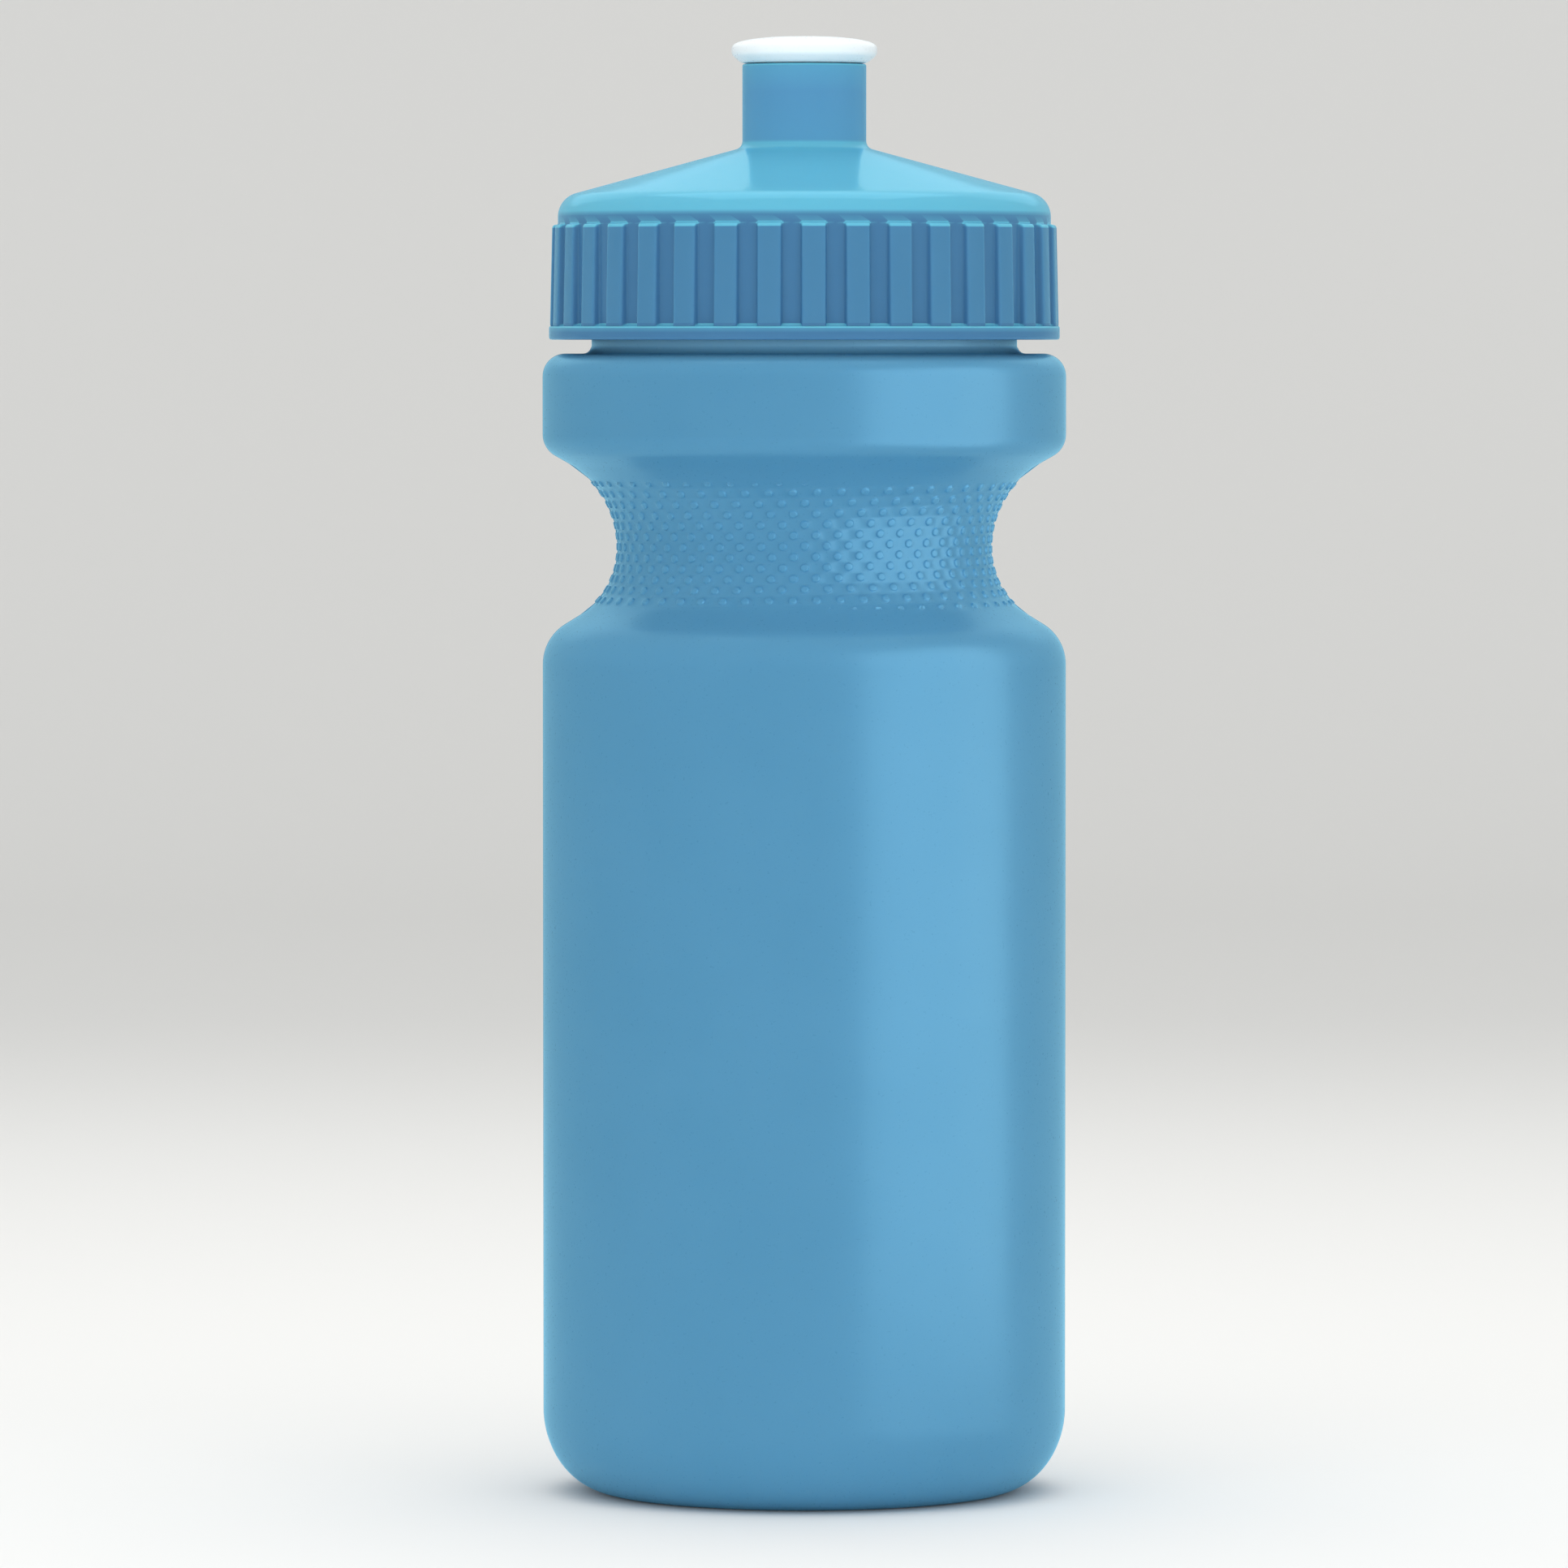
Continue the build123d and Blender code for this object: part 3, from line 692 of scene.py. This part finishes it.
# injection-moulded lid from a polished mould: glossier than the bottle, with faint flow waviness;
# painted
# light: the cone and whatever else faces up is painted paler cyan, standing in for light from above, and
# the chimney's thin wall is painted paler, standing in for light that soaks through it
lid_plastic = plastic("pp_injection_moulded_gloss", "#3E6D94", "#427199",
                      {"Subsurface Weight": 0.35, "Subsurface Radius": (0.5, 0.8, 1.0),
                       "Subsurface Scale": 0.003},
                      ("#A8E4FF", 0.13, 0.02, 1.49), (0.6, 0.0006), (6.0, 0.01),
                      lit=("#5EAEC8", 0.21), painted_light_above=(188.0, "#538EB5"))
# white LDPE valve: soft, waxy and slightly see-through at its thin rim
spout_plastic = plastic("ldpe_white_valve", "#DFE9ED", "#E7EEF0",
                        {"Subsurface Weight": 0.4, "Subsurface Radius": (1.0, 1.0, 1.1),
                         "Subsurface Scale": 0.002},
                        ("#F4FBFF", 0.3, 0.04, 1.51), (0.4, 0.003), (5.0, 0.02))
# pressed seal ring: matt and slightly grainy
gasket_foam = plastic("pe_foam_gasket", "#DDE0DF", "#D2D6D6", {},
                      ("#FFFFFF", 0.75, 0.05, 1.45), (0.25, 0.03), (4.0, 0.03))

for piece, material in ((bottle, bottle_ldpe), (lid, lid_plastic), (spout, spout_plastic),
                        (gasket, gasket_foam)):
    piece.data.materials.append(material)


# ---- floor, lights and camera ----
def floor_and_backdrop():
    """A pale floor that curves up behind the bottle."""
    front, bend_y, bend_r, top, half_width = -2600, 1500, 900, 3200, 3200
    under = 0.02  # keeps the floor from sharing the standing ring's plane
    shell = Mesh()
    outline = [(front, 0)] + line((front, 0), (bend_y, 0), 8)
    outline += arc((bend_y, bend_r), (bend_r, bend_r), -pi / 2, 0, 24)[1:] + [(bend_y + bend_r, top)]
    left = shell.ring([(-half_width, y, z - under) for y, z in outline])
    right = shell.ring([(half_width, y, z - under) for y, z in outline])
    for i in range(len(outline) - 1):
        shell.faces.append((left[i], left[i + 1], right[i + 1], right[i]))
    made = shell.made("floor")
    paper = bpy.data.materials.new("studio_paper")
    paper.use_nodes = True
    shader = paper.node_tree.nodes["Principled BSDF"]
    shader.inputs["Base Color"].default_value = colour("#E9E9E7")
    shader.inputs["Roughness"].default_value = 0.85
    made.data.materials.append(paper)
    return made


def softbox(name, place, target, size, power, diffuse=True, glossy=True, only=None):
    """A flat rectangular lamp, unseen itself, in metres and watts; only is the one object it lights."""
    lamp = bpy.data.lights.new(name, "AREA")
    lamp.shape = "RECTANGLE"
    lamp.size, lamp.size_y = size
    lamp.energy = power
    made = bpy.data.objects.new(name, lamp)
    made.location = place
    made.rotation_euler = (Vector(target) - Vector(place)).to_track_quat("-Z", "Y").to_euler()
    made.visible_camera = False
    made.visible_diffuse = diffuse
    made.visible_glossy = glossy
    bpy.context.scene.collection.objects.link(made)
    if only:
        lit = bpy.data.collections.new(name + "_lights")
        lit.objects.link(only)
        made.light_linking.receiver_collection = lit


# two lamps light one thing each: sheen_right makes the bottle's highlight without showing on the lid,
# and floor_glow brightens the floor, which lights the bottle's foot from below
floor = floor_and_backdrop()
softbox("fill_front", (0.0, -1.2, 0.14), (0, 0, 0.13), (3.0, 0.3), 11.2, glossy=False)
softbox("key_right", (0.75, -0.35, 0.12), (0, 0, 0.08), (0.7, 0.5), 0.15)
softbox("sheen_right", (0.174, -0.106, 0.125), (0, 0, 0.125), (0.28, 0.35), 1.00,
        diffuse=False, only=bottle)
softbox("floor_glow", (0.0, -0.3, 0.55), (0, -0.1, 0), (0.7, 0.3), 0.8, only=floor)
softbox("over", (0.0, 0.12, 0.75), (0, 0, 0.18), (0.6, 0.5), 1.5)
softbox("over_back", (0.0, 0.62, 0.62), (0, 0, 0.18), (1.2, 0.5), 1.0)

world = bpy.data.worlds.new("studio")
world.use_nodes = True
world.node_tree.nodes["Background"].inputs["Color"].default_value = colour("#FFFFFF")
world.node_tree.nodes["Background"].inputs["Strength"].default_value = 0.78
bpy.context.scene.world = world
bpy.context.scene.view_settings.view_transform = "Standard"

SENSOR_WIDTH = 36.0  # mm
CAMERA_AWAY = 1.5
VIEW_WIDTH = 0.21934  # metres across the frame where the bottle stands
LOOK_DOWN = radians(2.41)
aim = Vector((-0.00284, 0.0, 0.0990))
camera_data = bpy.data.cameras.new("camera")
camera_data.sensor_width = SENSOR_WIDTH
camera_data.lens = SENSOR_WIDTH * CAMERA_AWAY / VIEW_WIDTH
camera = bpy.data.objects.new("camera", camera_data)
camera.location = aim + Vector((0, -cos(LOOK_DOWN), sin(LOOK_DOWN))) * CAMERA_AWAY
camera.rotation_euler = (aim - camera.location).to_track_quat("-Z", "Y").to_euler()
bpy.context.scene.collection.objects.link(camera)
bpy.context.scene.camera = camera
